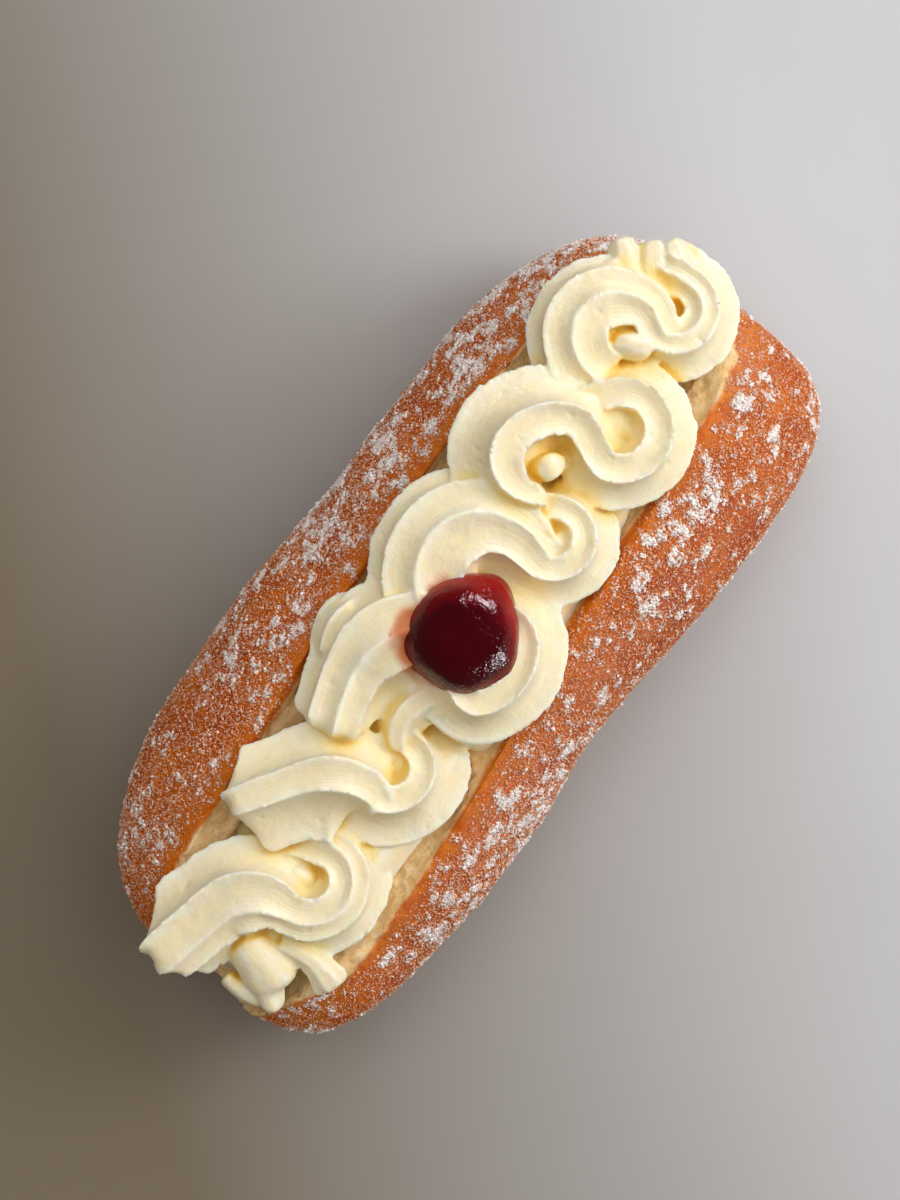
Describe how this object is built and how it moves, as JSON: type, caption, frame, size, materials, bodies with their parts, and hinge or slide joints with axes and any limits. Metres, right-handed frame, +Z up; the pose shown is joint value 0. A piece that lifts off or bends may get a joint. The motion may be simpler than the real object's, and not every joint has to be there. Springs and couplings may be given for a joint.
{
  "type": "paris bun",
  "caption": "Long sweet roll slit along its top, filled with piped swirls of whipped cream and topped with a dollop of red jam; the crust is sugared",
  "frame": {"origin": "on the resting plane, under the middle of the bounding box", "axes": "+X along the roll towards the end where the cream has ragged peaks, +Y towards the side whose crust the cream leaves wider open at the other end, +Z up"},
  "size_m": [0.1658, 0.0732, 0.0574],
  "materials": {
    "crust": "baked golden-brown crust with fine sugar, pale crumb inside the slit; stands in for bread",
    "cream": "soft ivory whipped cream; stands in for cream",
    "jam": "glossy deep red jam; stands in for jam"
  },
  "bodies": {
    "root": {"bun": "crust", "cream": "cream", "jam": "jam"}
  },
  "joints": []
}
